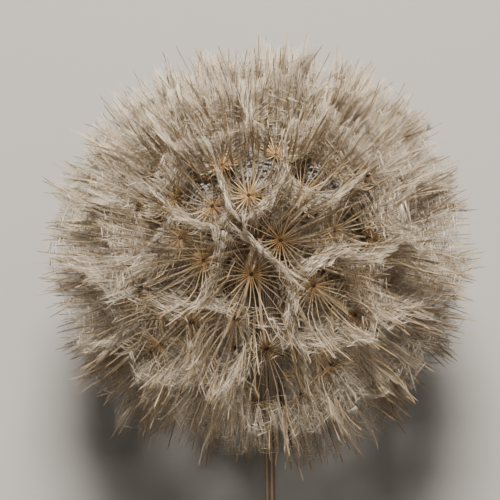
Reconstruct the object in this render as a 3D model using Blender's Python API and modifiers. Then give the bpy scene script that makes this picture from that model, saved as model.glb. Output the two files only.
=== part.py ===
"""A salsify seed head, cut with a length of its dried stem and laid on its side, in metres with +Z up.

The plant is modelled with its head's centre at the origin, its stem along -Y and the side that
the head shows to a viewer along +Z. An empty then tips it, so that it rests on the flattened
underside of the globe and on the cut end of the stem.
"""

import math

import bmesh
import bpy
import numpy as np
from mathutils import Matrix

# The globe
SEED_COUNT = 76
HUB_RADIUS = 0.0290
RAY_LENGTH = 0.0258
HEAD_REST = 0.0474
FIRST_LEAN = math.radians(74)
LAST_LEAN = math.radians(12)
LEAN_EASE = 1.6
CELL_GAP = 0.00062
WALL_SOFTNESS = 6
SHELL_THICKNESS = 0.0007
RAYS_BUILT = 8
BEND_SHARE = 0.34
VALLEY_SHARE = 0.79

# Hubs that face the viewer: millimetres to the right of the head's centre and above it
FRONT_HUBS_MM = (
    (-1.8, 13.3), (-9.5, 11.0), (4.9, 3.8), (-11.3, -0.4), (-1.3, -3.3), (11.9, -5.7),
    (16.4, 6.0), (-16.3, 4.4), (-14.1, -13.5), (2.0, -19.2), (21.0, -12.2), (16.4, -23.4),
    (24.1, 4.6), (-7.5, 19.9), (4.0, 22.1), (24.3, 17.9), (-26.3, 10.8), (-25.6, -6.6),
    (-23.0, -20.3), (-17.5, 12.8), (9.7, -29.8), (-0.2, -31.4),
)
RIM_ANGLE = math.radians(73)
SPIRAL_POINTS = 900
RELAX_ROUNDS = 60
RELAX_STEP = 0.35

# Achenes and beaks
DOME_RADIUS = 0.0055
DOME_FLAT = 0.0042
ROOT_CROWDING = 0.72
ROOT_DEPTH = 0.0012
ACHENE_LENGTH = 0.0115
ACHENE_RADIUS = 0.00085
ROOT_RADIUS = 0.00050
BEAK_RADIUS = 0.00046

# Stem and bracts
STEM_REACH = 0.150
STEM_RADIUS = 0.00132
STEM_TOP_RADIUS = 0.0021
STEM_SWELLING = 0.012
STEM_LEAN = 0.0033
STEM_LEAN_LENGTH = 0.022
STEM_RIBS = 7
RIB_DEPTH = 0.00016
BORE_RADIUS = 0.00062
BORE_END = 0.016
BRACT_COUNT = 8
BRACT_LENGTH = 0.044
SHORT_BRACT = 0.86
BRACT_WIDTH = 0.0027
BRACT_THICKNESS = 0.00064
COLLAR_RADIUS = 0.0034
COLLAR_LENGTH = 0.0026
PIECE_GAP = 0.0003

STEM_SLOPE = math.asin(HEAD_REST / math.hypot(STEM_REACH, STEM_RADIUS)) - math.atan(STEM_RADIUS / STEM_REACH)
FLOOR_NORMAL = np.array((0.0, math.sin(STEM_SLOPE), math.cos(STEM_SLOPE)))
STEM_DIRECTION = np.array((0.0, -1.0, 0.0))


def clear_scene():
    for obj in list(bpy.data.objects):
        bpy.data.objects.remove(obj, do_unlink=True)


def make_material(name, colour, roughness):
    material = bpy.data.materials.new(name)
    material.use_nodes = True
    shader = material.node_tree.nodes["Principled BSDF"]
    shader.inputs["Base Color"].default_value = (*colour, 1.0)
    shader.inputs["Roughness"].default_value = roughness
    shader.inputs["Metallic"].default_value = 0.0
    return material


def make_object(name, mesh, collection):
    obj = bpy.data.objects.new(name, mesh)
    collection.objects.link(obj)
    return obj


def mesh_from_bmesh(name, bm):
    mesh = bpy.data.meshes.new(name)
    bm.to_mesh(mesh)
    bm.free()
    return mesh


def evaluated_mesh(obj, weld=0.0):
    """The object's shape with its modifiers applied, in its own coordinates."""
    graph = bpy.context.evaluated_depsgraph_get()
    mesh = bpy.data.meshes.new_from_object(obj.evaluated_get(graph))
    bm = bmesh.new()
    bm.from_mesh(mesh)
    if weld:
        bmesh.ops.remove_doubles(bm, verts=bm.verts, dist=weld)
        bmesh.ops.recalc_face_normals(bm, faces=bm.faces)
    bm.to_mesh(mesh)
    bm.free()
    return mesh


def replace_with_mesh(obj, weld=0.0):
    """Swaps a curve or a mesh with modifiers for a plain mesh object of the same name."""
    mesh = evaluated_mesh(obj, weld)
    name = obj.name
    collection = obj.users_collection[0]
    bpy.data.objects.remove(obj, do_unlink=True)
    return make_object(name, mesh, collection)


def make_tube(name, points, radii, collection, section=0):
    """A tube along the points, with its own radius at each, closed at both ends."""
    curve = bpy.data.curves.new(name, "CURVE")
    curve.dimensions = "3D"
    curve.bevel_depth = 1.0
    curve.bevel_resolution = section
    curve.use_fill_caps = True
    spline = curve.splines.new("POLY")
    spline.points.add(len(points) - 1)
    for point, place, radius in zip(spline.points, points, radii):
        point.co = (*place, 1.0)
        point.radius = radius
    return replace_with_mesh(make_object(name, curve, collection), weld=1e-6)


def fuse(body, pieces):
    """Joins every object of the collection to the body, and removes them."""
    union = body.modifiers.new("fuse", "BOOLEAN")
    union.operation = "UNION"
    union.operand_type = "COLLECTION"
    union.collection = pieces
    union.solver = "MANIFOLD"
    fused = replace_with_mesh(body)
    for obj in list(pieces.objects):
        bpy.data.objects.remove(obj, do_unlink=True)
    bpy.data.collections.remove(pieces)
    return fused


def unit(vectors):
    return vectors / np.linalg.norm(vectors, axis=-1, keepdims=True)


def front_seed(across, above):
    """The place of a hub that is seen this far right of the head's centre and above it."""
    off = math.hypot(across, above)
    radius = max(HUB_RADIUS, off / math.sin(RIM_ANGLE))
    return np.array((across, above, math.sqrt(radius**2 - off**2)))


def spiral_directions(count):
    """Directions spread evenly over a ball, along a golden spiral."""
    step = np.arange(count)
    height = 1 - 2 * (step + 0.5) / count
    turn = step * math.pi * (3 - math.sqrt(5))
    ring = np.sqrt(1 - height**2)
    return np.stack((ring * np.cos(turn), height, ring * np.sin(turn)), axis=1)


def hub_places():
    """All the hubs: those that face the viewer, and the rest spread over what they leave free."""
    front = np.array([front_seed(0.001 * across, 0.001 * above) for across, above in FRONT_HUBS_MM])
    chosen = [STEM_DIRECTION, *unit(front)]
    spiral = spiral_directions(SPIRAL_POINTS)
    while len(chosen) < SEED_COUNT + 1:
        nearest = (spiral @ np.array(chosen).T).max(axis=1)
        chosen.append(spiral[nearest.argmin()])
    directions = np.array(chosen)
    fixed = len(front) + 1
    for _ in range(RELAX_ROUNDS):
        apart = directions[:, None] - directions[None]
        distance = np.linalg.norm(apart, axis=2) + np.eye(len(directions))
        push = (apart / distance[..., None] ** 5).sum(axis=1)
        typical = math.sqrt(4 * math.pi / len(directions))
        push *= RELAX_STEP * typical**5
        size = np.linalg.norm(push, axis=1, keepdims=True)
        push *= np.minimum(1, 0.1 * typical / np.maximum(size, 1e-9))
        directions[fixed:] = unit(directions + push)[fixed:]
    return np.concatenate((front, HUB_RADIUS * directions[fixed:]))


def ray_curve(share):
    """How far out sideways and outwards a free ray has come at this share of its length."""
    steps = np.linspace(0, share, 60)
    lean = LAST_LEAN + (FIRST_LEAN - LAST_LEAN) * (1 - steps) ** LEAN_EASE
    return share * RAY_LENGTH * np.sin(lean).mean(), share * RAY_LENGTH * np.cos(lean).mean()


def side_axes(direction):
    """Two directions square to this one and to each other."""
    helper = np.array((0.0, 0.0, 1.0)) if abs(direction[2]) < 0.8 else np.array((1.0, 0.0, 0.0))
    first = unit(np.cross(helper, direction))
    return first, np.cross(direction, first)


def ray_point(hub, walls, turn, share):
    """A point on the ray that leaves the hub at this turn, held inside the room that its neighbours leave."""
    direction = unit(hub)
    first, second = side_axes(direction)
    side = math.cos(turn) * first + math.sin(turn) * second
    free, rise = ray_curve(share)
    rise *= (HUB_RADIUS + RAY_LENGTH - np.linalg.norm(hub)) / RAY_LENGTH
    centre = hub + rise * direction
    lean = walls @ side
    room = (-CELL_GAP - walls @ centre)[lean > 0.05] / lean[lean > 0.05]
    wall = max(room.min(), CELL_GAP)
    reach = free * wall / (free**WALL_SOFTNESS + wall**WALL_SOFTNESS) ** (1 / WALL_SOFTNESS)
    point = centre + reach * side
    below = -(HEAD_REST - SHELL_THICKNESS / 2) - point @ FLOOR_NORMAL
    return point + max(below, 0.0) * FLOOR_NORMAL


def make_parachute(number, hubs, collection):
    """The rays of one seed with the web between them: a fluted cup with a pointed rim."""
    hub = hubs[number]
    others = np.concatenate((np.delete(unit(hubs), number, axis=0), STEM_DIRECTION[None]))
    walls = unit(others - unit(hub))
    bm = bmesh.new()
    centre = bm.verts.new(hub)
    turns = [(ray + 0.37 * number) * math.tau / RAYS_BUILT for ray in range(RAYS_BUILT)]
    half = math.pi / RAYS_BUILT
    bends = [bm.verts.new(ray_point(hub, walls, turn, BEND_SHARE)) for turn in turns]
    tips = [bm.verts.new(ray_point(hub, walls, turn, 1.0)) for turn in turns]
    valleys = [bm.verts.new(ray_point(hub, walls, turn + half, VALLEY_SHARE)) for turn in turns]
    for ray in range(RAYS_BUILT):
        after = (ray + 1) % RAYS_BUILT
        bm.faces.new((centre, bends[ray], bends[after]))
        bm.faces.new((bends[ray], tips[ray], valleys[ray]))
        bm.faces.new((bends[ray], valleys[ray], bends[after]))
        bm.faces.new((bends[after], valleys[ray], tips[after]))
    bmesh.ops.recalc_face_normals(bm, faces=bm.faces)
    parachute = make_object(f"parachute_{number}", mesh_from_bmesh("parachute", bm), collection)
    shell = parachute.modifiers.new("web", "SOLIDIFY")
    shell.thickness = SHELL_THICKNESS
    shell.offset = 0.0
    return replace_with_mesh(parachute)


def root_place(direction):
    """Where an achene stands on the dome: the lower ones crowd round its edge and splay down."""
    polar = math.acos(np.clip(direction[1], -1, 1)) * ROOT_CROWDING
    around = unit(np.array((direction[0], 0.0, direction[2])))
    outwards = math.sin(polar) * around + np.array((0.0, math.cos(polar), 0.0))
    return (DOME_RADIUS - ROOT_DEPTH) * outwards


def make_stalk(number, hub, collection):
    """An achene, widest at its middle, that draws out into the beak and ends in the hub."""
    root = root_place(unit(hub))
    along = unit(hub - root)
    distances = (0, 0.45 * ACHENE_LENGTH, ACHENE_LENGTH, np.linalg.norm(hub - root) + 0.0001)
    radii = (ROOT_RADIUS, ACHENE_RADIUS, BEAK_RADIUS, BEAK_RADIUS)
    points = [root + distance * along for distance in distances]
    return make_tube(f"stalk_{number}", points, radii, collection)


def make_head(collection, material):
    """The domed receptacle with every seed fused to it."""
    bm = bmesh.new()
    lowest = math.acos(-DOME_FLAT / DOME_RADIUS)
    profile = [(DOME_RADIUS * math.sin(a), DOME_RADIUS * math.cos(a)) for a in np.linspace(0, lowest, 8)]
    profile.append((0.0, -DOME_FLAT))
    chain = [bm.verts.new((across, above, 0.0)) for across, above in profile]
    for start, end in zip(chain, chain[1:]):
        bm.edges.new((start, end))
    dome = make_object("seed_head", mesh_from_bmesh("seed_head", bm), collection)
    turn = dome.modifiers.new("turn", "SCREW")
    turn.axis = "Y"
    turn.steps = 14
    turn.render_steps = 14
    turn.use_merge_vertices = True
    turn.merge_threshold = 0.00001
    dome = replace_with_mesh(dome, weld=1e-6)
    pieces = bpy.data.collections.new("seeds")
    bpy.context.scene.collection.children.link(pieces)
    hubs = hub_places()
    for number in range(SEED_COUNT):
        make_stalk(number, hubs[number], pieces)
        make_parachute(number, hubs, pieces)
    head = fuse(dome, pieces)
    head.data.materials.append(material)
    return head


def stem_centre(depth):
    """The middle of the stem this far below the head's centre."""
    lean = STEM_LEAN * (1 - math.exp(-depth / STEM_LEAN_LENGTH))
    return np.array((lean, -depth, 0.0))


def make_stem(collection, material):
    """A ribbed stalk, swollen under the head, with the hollow of a dried stem at its cut end."""
    profile = bpy.data.curves.new("stem_section", "CURVE")
    outline = profile.splines.new("POLY")
    outline.points.add(2 * STEM_RIBS - 1)
    for corner, point in enumerate(outline.points):
        radius = 1 - (corner % 2) * RIB_DEPTH / STEM_RADIUS
        turn = corner * math.pi / STEM_RIBS
        point.co = (radius * math.cos(turn), radius * math.sin(turn), 0.0, 1.0)
    outline.use_cyclic_u = True
    guide = make_object("stem_section", profile, collection)
    curve = bpy.data.curves.new("stem", "CURVE")
    curve.dimensions = "3D"
    curve.bevel_mode = "OBJECT"
    curve.bevel_object = guide
    curve.use_fill_caps = True
    top = DOME_FLAT + PIECE_GAP
    depths = [top + (STEM_REACH - top) * (step / 11) ** 1.5 for step in range(12)]
    spline = curve.splines.new("POLY")
    spline.points.add(len(depths) - 1)
    for point, depth in zip(spline.points, depths):
        point.co = (*stem_centre(depth), 1.0)
        swelling = (STEM_TOP_RADIUS - STEM_RADIUS) * math.exp(-((depth - top) / STEM_SWELLING) ** 2)
        point.radius = STEM_RADIUS + swelling
    stem = replace_with_mesh(make_object("stem", curve, collection), weld=1e-6)
    bpy.data.objects.remove(guide, do_unlink=True)
    cutters = bpy.data.collections.new("stem_cutters")
    bpy.context.scene.collection.children.link(cutters)
    depths = np.linspace(BORE_END, STEM_REACH + 0.002, 9)
    bore = make_tube("stem_bore", [stem_centre(depth) for depth in depths], [BORE_RADIUS] * 9, cutters, section=1)
    cut = stem.modifiers.new("bore", "BOOLEAN")
    cut.operation = "DIFFERENCE"
    cut.object = bore
    stem = replace_with_mesh(stem)
    bpy.data.objects.remove(bore, do_unlink=True)
    bpy.data.collections.remove(cutters)
    stem.data.materials.append(material)
    return stem


def bract_point(turn, depth, splay):
    """A point on the middle line of the bract at this turn round the stem."""
    start = DOME_FLAT + PIECE_GAP
    share = (depth - start) / BRACT_LENGTH
    radius = COLLAR_RADIUS - 0.0006 - 0.0003 * math.sin(math.pi * min(2 * share, 1)) + 0.0007 * share
    radius += splay * max(share - 0.45, 0) ** 2 / 0.3
    return stem_centre(depth) + radius * np.array((math.cos(turn), 0.0, math.sin(turn)))


def make_bract(number, collection):
    """A slim pointed blade, bent back along the stem and folded a little along its middle."""
    turn = (number + 0.5) * math.tau / BRACT_COUNT
    length = BRACT_LENGTH * (SHORT_BRACT - 0.09 * (number * 5 % 8) / 8 if number else 1)
    splay = 0.0008 + 0.0006 * math.sin(2.4 * number) if number else 0.0040
    start = DOME_FLAT + PIECE_GAP + 0.0004
    sideways = np.array((-math.sin(turn), 0.0, math.cos(turn)))
    outwards = np.array((math.cos(turn), 0.0, math.sin(turn)))
    bm = bmesh.new()
    rows = []
    for share in (0, 0.18, 0.42, 0.66, 0.86):
        middle = bract_point(turn, start + share * length, splay)
        half = 0.5 * BRACT_WIDTH * (1 - share**1.8) ** 0.8 + 0.0002
        rows.append([
            bm.verts.new(middle - half * sideways - 0.16 * half * outwards),
            bm.verts.new(middle + 0.16 * half * outwards),
            bm.verts.new(middle + half * sideways - 0.16 * half * outwards),
        ])
    tip = bm.verts.new(bract_point(turn, start + length, splay))
    for upper, lower in zip(rows, rows[1:]):
        for column in (0, 1):
            bm.faces.new((upper[column], upper[column + 1], lower[column]))
            bm.faces.new((upper[column + 1], lower[column + 1], lower[column]))
    for column in (0, 1):
        bm.faces.new((rows[-1][column], rows[-1][column + 1], tip))
    bmesh.ops.recalc_face_normals(bm, faces=bm.faces)
    bract = make_object(f"bract_{number}", mesh_from_bmesh("bract", bm), collection)
    blade = bract.modifiers.new("blade", "SOLIDIFY")
    blade.thickness = BRACT_THICKNESS
    blade.offset = 0.0
    return replace_with_mesh(bract)


def make_bracts(collection, material):
    """The narrow ring under the head with its bracts."""
    start = DOME_FLAT + PIECE_GAP
    bm = bmesh.new()
    inner = STEM_TOP_RADIUS + PIECE_GAP
    middle = stem_centre(start + COLLAR_LENGTH / 2)
    corners = ((inner, 0.0), (COLLAR_RADIUS, 0.0), (COLLAR_RADIUS, -0.6 * COLLAR_LENGTH), (inner, -COLLAR_LENGTH))
    chain = [bm.verts.new((radius, -start + height, 0.0)) for radius, height in corners]
    for corner, vertex in enumerate(chain):
        bm.edges.new((vertex, chain[(corner + 1) % len(chain)]))
    ring = make_object("bracts", mesh_from_bmesh("bracts", bm), collection)
    turn = ring.modifiers.new("turn", "SCREW")
    turn.axis = "Y"
    turn.steps = 16
    turn.render_steps = 16
    turn.use_merge_vertices = True
    turn.merge_threshold = 0.00001
    ring = replace_with_mesh(ring, weld=1e-6)
    ring.data.transform(Matrix.Translation((middle[0], 0.0, 0.0)))
    pieces = bpy.data.collections.new("bract_blades")
    bpy.context.scene.collection.children.link(pieces)
    for number in range(BRACT_COUNT):
        make_bract(number, pieces)
    bracts = fuse(ring, pieces)
    bracts.data.materials.append(material)
    return bracts


def lay_down(pieces):
    """Tips the plant on to its side and puts the origin under the middle of its box."""
    laid = bpy.data.objects.new("laid_down", None)
    bpy.context.scene.collection.objects.link(laid)
    tip = Matrix.Rotation(STEM_SLOPE, 4, "X")
    corners = np.array([tip @ vertex.co for piece in pieces for vertex in piece.data.vertices])
    lowest = corners.min(axis=0)
    highest = corners.max(axis=0)
    laid.rotation_euler = (STEM_SLOPE, 0.0, 0.0)
    laid.location = (-(lowest[0] + highest[0]) / 2, -(lowest[1] + highest[1]) / 2, -lowest[2])
    for piece in pieces:
        piece.parent = laid


def main():
    clear_scene()
    parts = bpy.data.collections.new("salsify_seed_head")
    bpy.context.scene.collection.children.link(parts)
    pale = make_material("pale_down", (0.55, 0.46, 0.35), 0.85)
    brown = make_material("dried_stem", (0.12, 0.08, 0.05), 0.7)
    tan = make_material("dried_bract", (0.30, 0.22, 0.12), 0.75)
    pieces = [make_head(parts, pale), make_stem(parts, brown), make_bracts(parts, tan)]
    for piece in pieces:
        piece.data.shade_smooth()
        piece.data.set_sharp_from_angle(angle=math.radians(35))
    lay_down(pieces)


main()
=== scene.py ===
"""The looks of a dried salsify seed head that lies on its side, laid out as a Blender add-on.

The plant's own frame has the head's centre at the origin, the stem along -Y and the side that
faces the camera along +Z. Every piece is worked out in it and then tipped into place.
Lengths are in metres, and in millimetres where a name ends in MM.
"""

import functools
import math

import bpy
import numpy as np
from bpy.props import FloatProperty, FloatVectorProperty, IntProperty, PointerProperty
from mathutils import Matrix, Vector


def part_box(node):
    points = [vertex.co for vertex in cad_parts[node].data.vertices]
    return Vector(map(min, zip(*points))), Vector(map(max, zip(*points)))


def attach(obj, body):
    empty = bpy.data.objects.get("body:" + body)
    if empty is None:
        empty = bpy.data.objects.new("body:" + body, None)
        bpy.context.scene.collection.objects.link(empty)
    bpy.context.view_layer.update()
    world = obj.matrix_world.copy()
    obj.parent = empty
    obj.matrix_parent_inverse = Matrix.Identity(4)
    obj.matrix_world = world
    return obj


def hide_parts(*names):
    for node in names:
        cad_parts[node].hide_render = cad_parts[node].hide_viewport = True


bl_info = {
    "name": "Salsify seed head",
    "version": (1, 0, 0),
    "blender": (4, 5, 0),
    "location": "View3D > Sidebar > Seed head",
    "description": "Builds a dried salsify seed head with its seeds, web of hairs, bracts and stem",
    "category": "Add Mesh",
}

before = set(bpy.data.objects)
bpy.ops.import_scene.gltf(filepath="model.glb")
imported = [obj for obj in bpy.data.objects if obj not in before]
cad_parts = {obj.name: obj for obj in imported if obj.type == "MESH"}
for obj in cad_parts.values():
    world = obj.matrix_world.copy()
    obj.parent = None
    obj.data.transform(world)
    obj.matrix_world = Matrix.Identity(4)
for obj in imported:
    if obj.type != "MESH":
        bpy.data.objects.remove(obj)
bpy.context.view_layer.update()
BODY = "root"

# The globe, which the solids have too
SEED_COUNT = 76
HUB_RADIUS = 0.0290
HEAD_REST = 0.0474
FRONT_HUBS_MM = (
    (-1.8, 13.3), (-9.5, 11.0), (4.9, 3.8), (-11.3, -0.4), (-1.3, -3.3), (11.9, -5.7),
    (16.4, 6.0), (-16.3, 4.4), (-14.1, -13.5), (2.0, -19.2), (21.0, -12.2), (16.4, -23.4),
    (24.1, 4.6), (-7.5, 19.9), (4.0, 22.1), (24.3, 17.9), (-26.3, 10.8), (-25.6, -6.6),
    (-23.0, -20.3), (-17.5, 12.8), (9.7, -29.8), (-0.2, -31.4),
)
RIM_ANGLE = math.radians(73)
SPIRAL_POINTS = 900
RELAX_ROUNDS = 60
RELAX_STEP = 0.35
RELAX_POWER = 5
RELAX_LIMIT = 0.1
DOME_RADIUS = 0.0055
DOME_FLAT = 0.0042
ROOT_CROWDING = 0.72
ROOT_DEPTH = 0.0012

# The stem and the bracts: the sizes that the solids have too
STEM_REACH = 0.150
STEM_RADIUS = 0.00132
STEM_TOP_RADIUS = 0.0021
STEM_SWELLING = 0.012
STEM_LEAN = 0.0033
STEM_LEAN_LENGTH = 0.022
STEM_RIBS = 7
BORE_RADIUS = 0.00062
BRACT_COUNT = 8
BRACT_LENGTH = 0.044
SHORT_BRACT = 0.86
BRACT_WIDTH = 0.0027
COLLAR_RADIUS = 0.0034
PIECE_GAP = 0.0003

STEM_TOP = DOME_FLAT + PIECE_GAP
STEM_SLOPE = math.asin(HEAD_REST / math.hypot(STEM_REACH, STEM_RADIUS))
STEM_SLOPE -= math.atan(STEM_RADIUS / STEM_REACH)
FLOOR_NORMAL = np.array((0.0, math.sin(STEM_SLOPE), math.cos(STEM_SLOPE)))
STEM_DIRECTION = np.array((0.0, -1.0, 0.0))

# What only the looks of the stem and the bracts have. The bore and the ribs are shares of the stem
STEM_RINGS = 60
STEM_STEPS = 80
BORE_SHARE = 0.06
RIB_DEPTH = 0.05
RIB_MIDDLE = 0.955
SHORTER_BY = 0.09
BRACT_TIP = 0.0001
BRACT_TAPER = (1.8, 0.8)
BRACT_THICKNESS = 0.00032
BRACT_FOLD = 0.26
BRACT_RIPPLE = 0.00012
BRACT_INSET = 0.0006
BRACT_WAIST = 0.0003
BRACT_RISE = 0.0007
BRACT_LEAN = 0.0004
BRACT_START = 0.0004
BRACT_ROWS = 22
BRACT_COLUMNS = 7
SPLAY = (0.0008, 0.0006)
SPLAY_START = 0.45
SPLAY_LENGTH = 0.3
LONG_SPLAY = 0.0040

# A nutlet from its root to its hub: the share of its length, and half its width in millimetres
NUTLET_PROFILE = (
    (0.0, 0.40), (0.006, 0.50), (0.035, 0.60), (0.11, 0.74), (0.20, 0.78), (0.30, 0.64), (0.37, 0.42),
    (0.43, 0.31), (0.60, 0.27), (0.82, 0.25), (0.93, 0.28), (0.960, 0.38), (0.974, 0.50), (0.986, 0.52),
    (0.995, 0.42), (1.0, 0.25),
)
NUTLET_SIDES = 10
NUTLET_RIBBED = (0.02, 0.38)
NUTLET_GROOVE = 0.78
NUTLET_SAG = 0.0006
HUB_DOME = 0.0004

# The rays: leans in degrees, with how much they vary, and starts and spans as shares of the length
RAY_STEPS = 16
RAY_SHARES = np.linspace(0, 1, RAY_STEPS + 1)[None]
FINE_STEPS = 50
FINE_STEP = 0.0006
TURN_JITTER = (-0.28, 0.28)
SPREAD_LEAN = (73, 3)
UPRIGHT_LEAN = (14, 5)
BEND_START = 0.26
BEND_SPAN = 0.30
WALL_EASE = 0.35
BACK_STEP = 0.9
CELL_OVERLAP = 0.00012
SHORT_OF_WALL = (0.98, 1.0)
PAST_WALL = (1.1, 1.5)
CROSSING_RAYS = 0.35
FLARE = 0.0034
FLARE_START = 0.42
FLARE_SPAN = 0.40
FLARE_LEAN = 13
STRAY_TUFTS = 4
TUFT_PULL = (0.1, 0.92)
PULL_START = 0.25
PULL_SPAN = 0.7
PULL_CURVE = 1.3
GLOBE_RADIUS = 0.0476
FURTHEST_TIP = 0.0507
SEED_ENDS = (-0.0038, 0.0016)
RAY_ENDS_VARY = 0.0009
TUFT_ENDS = (0.001, 0.0036)
SHORT_BELOW = 0.0035
SHORT_FROM = 0.3
WAVES = (0.6, 1.4)
WAVE_CURVE = 1.5
WAVE_SIZE = 0.0003
FACING_CURL = 0.35
CURL_START = 0.78
CURL_ACROSS = 0.0007
CURL_OUT = 0.0004
RAY_CUTS = (0.12, 0.26, 0.42, 0.58, 0.78, 0.96)
RAY_WIDTHS = (0.8, 1.1)
RAY_MISSING = 0.3
RAY_CLEARANCE = 0.00035

# The hairs: starts, spans and lengths as shares of a ray, widths as shares of the hair radius
WEB_START = 0.34
WEB_SPAN = 0.56
WEB_END = 0.94
WEB_END_VARIES = 0.02
HAIR_BACK = 0.04
MIDDLE_ASTRAY = 0.4
WEB_CURVE = (0.9, 1.2)
WEB_ACROSS = (0.7, 1.8)
WEB_AHEAD = (-0.01, 0.06)
WEB_ASTRAY = 0.00007
WEB_ALIKE = 0.3
WEB_THICKEST = 2.7
WEB_PIECES = 3
LOW_HAIRS = 0.26
LOW_START = 0.10
STREAK_START = 0.32
STREAK_CURVE = (1.0, 1.8)
STREAK_BESIDE = (-0.1, 0.1)
STREAK_ACROSS = (0.05, 0.7)
STREAK_AHEAD = (0.08, 0.18)
STRAIGHT_FROM = 0.43
STRAIGHT_AHEAD = (0.22, 0.50)
STREAK_ASTRAY = 0.00010
STREAK_ALIKE = 0.65
STREAK_THICKEST = 1.7
STREAK_PIECES = 3
THREAD_END = 0.4
WILD_HAIRS = 0.08
WILDER = 5
THICK_HAIRS = 0.28
THICK_FROM = 1.4
FINE_WIDTHS = (0.5, 1.0)
HAIR_CLEARANCE = 0.00015

# How dense the hairs are at these heights on the globe, from the stem to the top
DENSITY_HEIGHTS = (-0.8, 0.0, 0.7)
WEB_DENSITY = (0.5, 1.2, 0.55)
STREAK_DENSITY = (0.8, 0.5, 1.5)

# The shades of the hairs, from 0 for the darkest to 1 for the palest. The dark end is partly the hairs' own
# tone and partly painted shade, as if those hairs lay in shadow
SHADE_CURVE = (0.65, 0.5)
SHADE_VARIES = 0.09
SHADE_LIMITS = (0.05, 0.95)
# Painted light: how much paler the hairs of the top seeds are, as if lit from above
TOP_PAINTED_LIGHT = 0.11
THICK_SHADE = 0.35
THICK_SHADES = 0.62

# Where the camera sees hairs and rays missing or added. A gap is a place across and above, and a radius
RIDGE = 0.80
FACING_SHARE = 0.36
FACING_WIDTH = 0.026
FACING_MIDDLE = (0.001, -0.009)
HUB_CLEARING = 0.0048
RAY_CLEARING = 0.0022
ABOVE_HUB = 0.002
CLEARING_EDGE = 1.5
CLEAREST = 0.9
GAPS_MM = ((-0.6, -10.6, 7.8), (1.8, -17.6, 4.4), (1.2, -25.6, 5.4))
GAP_DEPTH = 0.012
# Extra dark, wider and longer low hairs on far seeds behind the top gaps: painted shade that darkens the
# see-through
SHADE_BACKING_HAIRS = 900
SHADE_BACKING_ACROSS = (0.7, 3.5)
SHADE_BACKING_WIDTH = 1.5
BACKED_MM = (3.0, 14.0, 22.0)
BACKED_BELOW_MM = -10.0

# The maps that the finishes are drawn on
MAP_ALONG = (0.02, 0.98)
MAP_BESIDE = (0.002, 0.998)
MAP_OPEN = 0.014
SEAM_FIT = 0.9

# The camera and the photo's frame: pixels, and metres a pixel at the head
FRAME_PIXELS = 500
METRES_A_PIXEL = 0.000221
HEAD_PIXEL = (257, 258)
CAMERA_DISTANCE = 0.62
SENSOR_WIDTH = 36.0

# The lights: the way to them in the plant's frame, how far they are, and how wide
KEY_LIGHT = (-0.02, 0.73, 0.73), 0.75, 0.26
KEY_COLOUR = (1.0, 0.97, 0.92)
FILL_LIGHT = (0.28, 0.10, 1.0), 0.80, 0.30
FILL_COLOUR = (1.0, 0.98, 0.95)
WORLD_COLOUR = (1.0, 0.97, 0.93)
WORLD_STRENGTH = 0.08


def unit(vectors):
    return vectors / np.maximum(np.linalg.norm(vectors, axis=-1, keepdims=True), 1e-12)


def front_seed(across, above):
    """The place of a hub that is seen this far right of the head's centre and above it."""
    off = math.hypot(across, above)
    radius = max(HUB_RADIUS, off / math.sin(RIM_ANGLE))
    return np.array((across, above, math.sqrt(radius**2 - off**2)))


def spiral_directions(count):
    """Directions spread evenly over a ball, along a golden spiral."""
    step = np.arange(count)
    height = 1 - 2 * (step + 0.5) / count
    turn = step * math.pi * (3 - math.sqrt(5))
    ring = np.sqrt(1 - height**2)
    return np.stack((ring * np.cos(turn), height, ring * np.sin(turn)), axis=1)


@functools.lru_cache(maxsize=1)
def hub_places():
    """All the hubs: those that face the viewer, and the rest spread over what they leave free."""
    front = np.array([front_seed(0.001 * across, 0.001 * above) for across, above in FRONT_HUBS_MM])
    chosen = [STEM_DIRECTION, *unit(front)]
    spiral = spiral_directions(SPIRAL_POINTS)
    while len(chosen) < SEED_COUNT + 1:
        nearest = (spiral @ np.array(chosen).T).max(axis=1)
        chosen.append(spiral[nearest.argmin()])
    directions = np.array(chosen)
    fixed = len(front) + 1
    for _ in range(RELAX_ROUNDS):
        apart = directions[:, None] - directions[None]
        distance = np.linalg.norm(apart, axis=2) + np.eye(len(directions))
        push = (apart / distance[..., None] ** RELAX_POWER).sum(axis=1)
        typical = math.sqrt(4 * math.pi / len(directions))
        push *= RELAX_STEP * typical**RELAX_POWER
        size = np.linalg.norm(push, axis=1, keepdims=True)
        push *= np.minimum(1, RELAX_LIMIT * typical / np.maximum(size, 1e-9))
        directions[fixed:] = unit(directions + push)[fixed:]
    return np.concatenate((front, HUB_RADIUS * directions[fixed:]))


def side_axes(direction):
    """Two directions square to this one and to each other."""
    helper = np.array((0.0, 0.0, 1.0)) if abs(direction[2]) < 0.8 else np.array((1.0, 0.0, 0.0))
    first = unit(np.cross(helper, direction))
    return first, np.cross(direction, first)


def sideways(turns, first, second):
    """The directions at these turns round a seed, from its two side axes."""
    return np.cos(turns)[:, None] * first + np.sin(turns)[:, None] * second


def stem_centre(depth):
    """The middle of the stem this far below the head's centre."""
    lean = STEM_LEAN * (1 - math.exp(-depth / STEM_LEAN_LENGTH))
    return np.array((lean, -depth, 0.0))


def stem_radius(depth):
    """Half the thickness of the stem this far below the head's centre."""
    swelling = math.exp(-((depth - STEM_TOP) / STEM_SWELLING) ** 2)
    return STEM_RADIUS + (STEM_TOP_RADIUS - STEM_RADIUS) * swelling


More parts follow.
